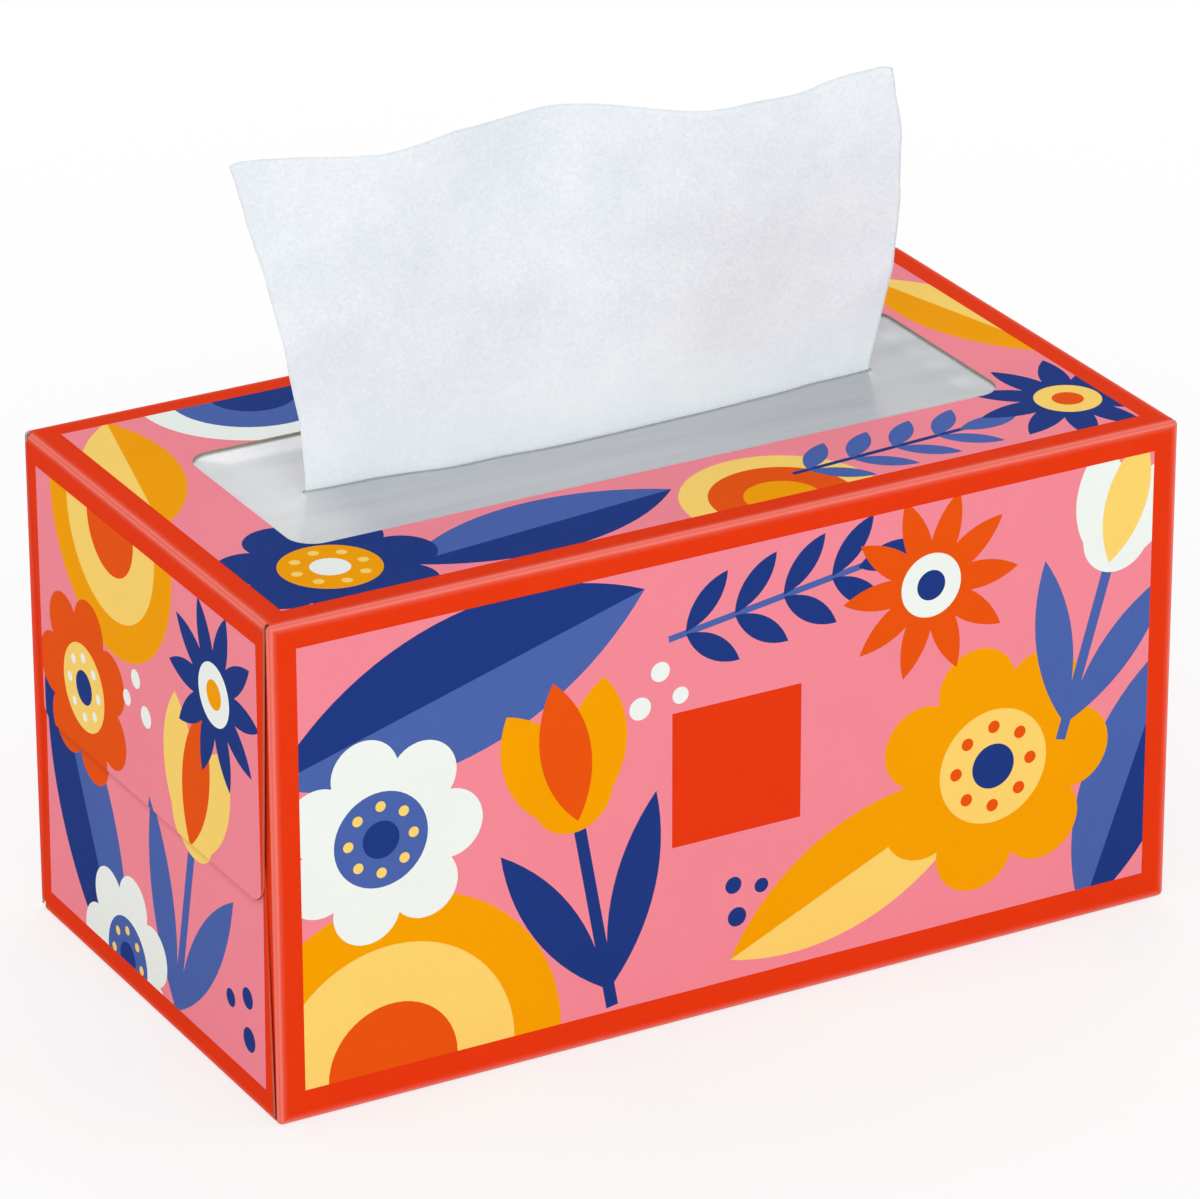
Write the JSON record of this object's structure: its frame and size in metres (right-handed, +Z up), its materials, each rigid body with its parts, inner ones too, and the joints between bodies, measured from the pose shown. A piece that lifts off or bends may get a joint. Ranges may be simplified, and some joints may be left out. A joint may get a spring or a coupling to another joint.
{
  "type": "tissue box",
  "caption": "Oblong paperboard box of facial tissues with a film window in its top and one tissue pulled up through the slit.",
  "frame": {"origin": "middle of the underside of the carton", "axes": "+X to the right along the length of the box, +Y to the back, +Z up; the front panel with the label faces -Y"},
  "size_m": [0.2302, 0.123, 0.1954],
  "materials": {
    "printed_board": "satin varnish",
    "hot_glue": "satin",
    "clear_film": "gloss",
    "tissue_paper": "soft matte",
    "ink_pink": "satin varnish",
    "ink_navy": "satin varnish",
    "ink_blue": "satin varnish",
    "ink_amber": "satin varnish",
    "ink_yellow": "satin varnish",
    "ink_white": "satin varnish",
    "ink_orange": "satin varnish"
  },
  "bodies": {
    "root": {"carton": "printed_board", "carton_glue": "hot_glue", "film_window": "clear_film", "film_glue": "hot_glue", "tissue_pack": "tissue_paper", "pulled_tissue": "tissue_paper", "ink_pink": "ink_pink", "ink_navy": "ink_navy", "ink_blue": "ink_blue", "ink_amber": "ink_amber", "ink_yellow": "ink_yellow", "ink_white": "ink_white", "ink_orange": "ink_orange"}
  },
  "joints": []
}
